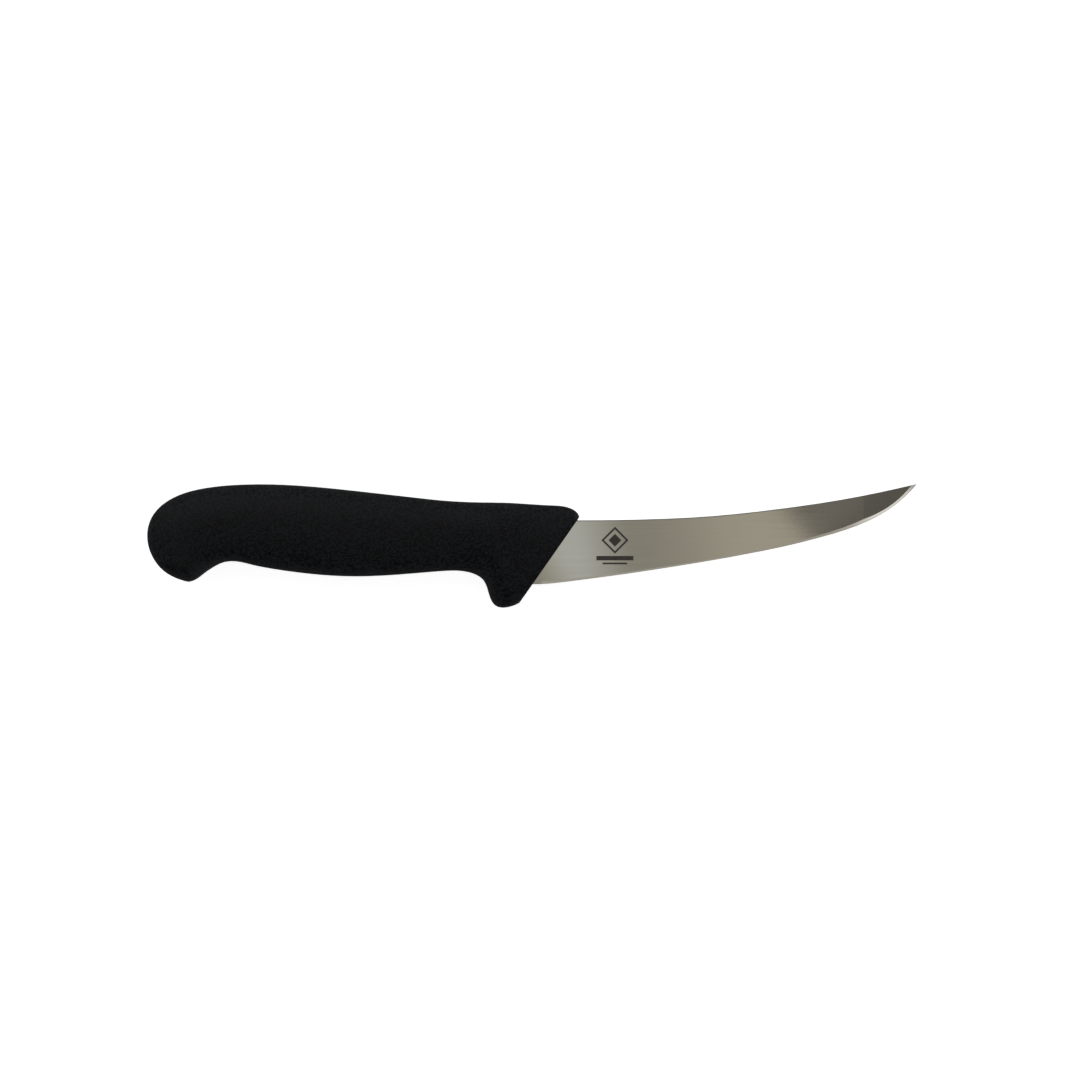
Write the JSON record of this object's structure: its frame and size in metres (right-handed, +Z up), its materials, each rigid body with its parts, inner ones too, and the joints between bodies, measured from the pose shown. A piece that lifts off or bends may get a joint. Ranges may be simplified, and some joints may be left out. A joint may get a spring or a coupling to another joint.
{
  "type": "boning knife",
  "caption": "Butcher's boning knife with a narrow upswept steel blade and a moulded black grip with a finger guard and a hooked butt.",
  "frame": {"origin": "centre of the bounding box in X and Y, at the level the knife rests on when it lies on its side", "axes": "+X along the knife towards the blade's point, +Y towards the blade's back, +Z up out of the blade's side"},
  "size_m": [0.2614, 0.042, 0.023],
  "materials": {
    "blade_steel": "fine satin, ground lengthwise",
    "core_plastic": "matte",
    "grip_rubber": "matte, fine grain"
  },
  "bodies": {
    "root": {"blade": "blade_steel", "handle_core": "core_plastic", "soft_grip": "grip_rubber"}
  },
  "joints": []
}
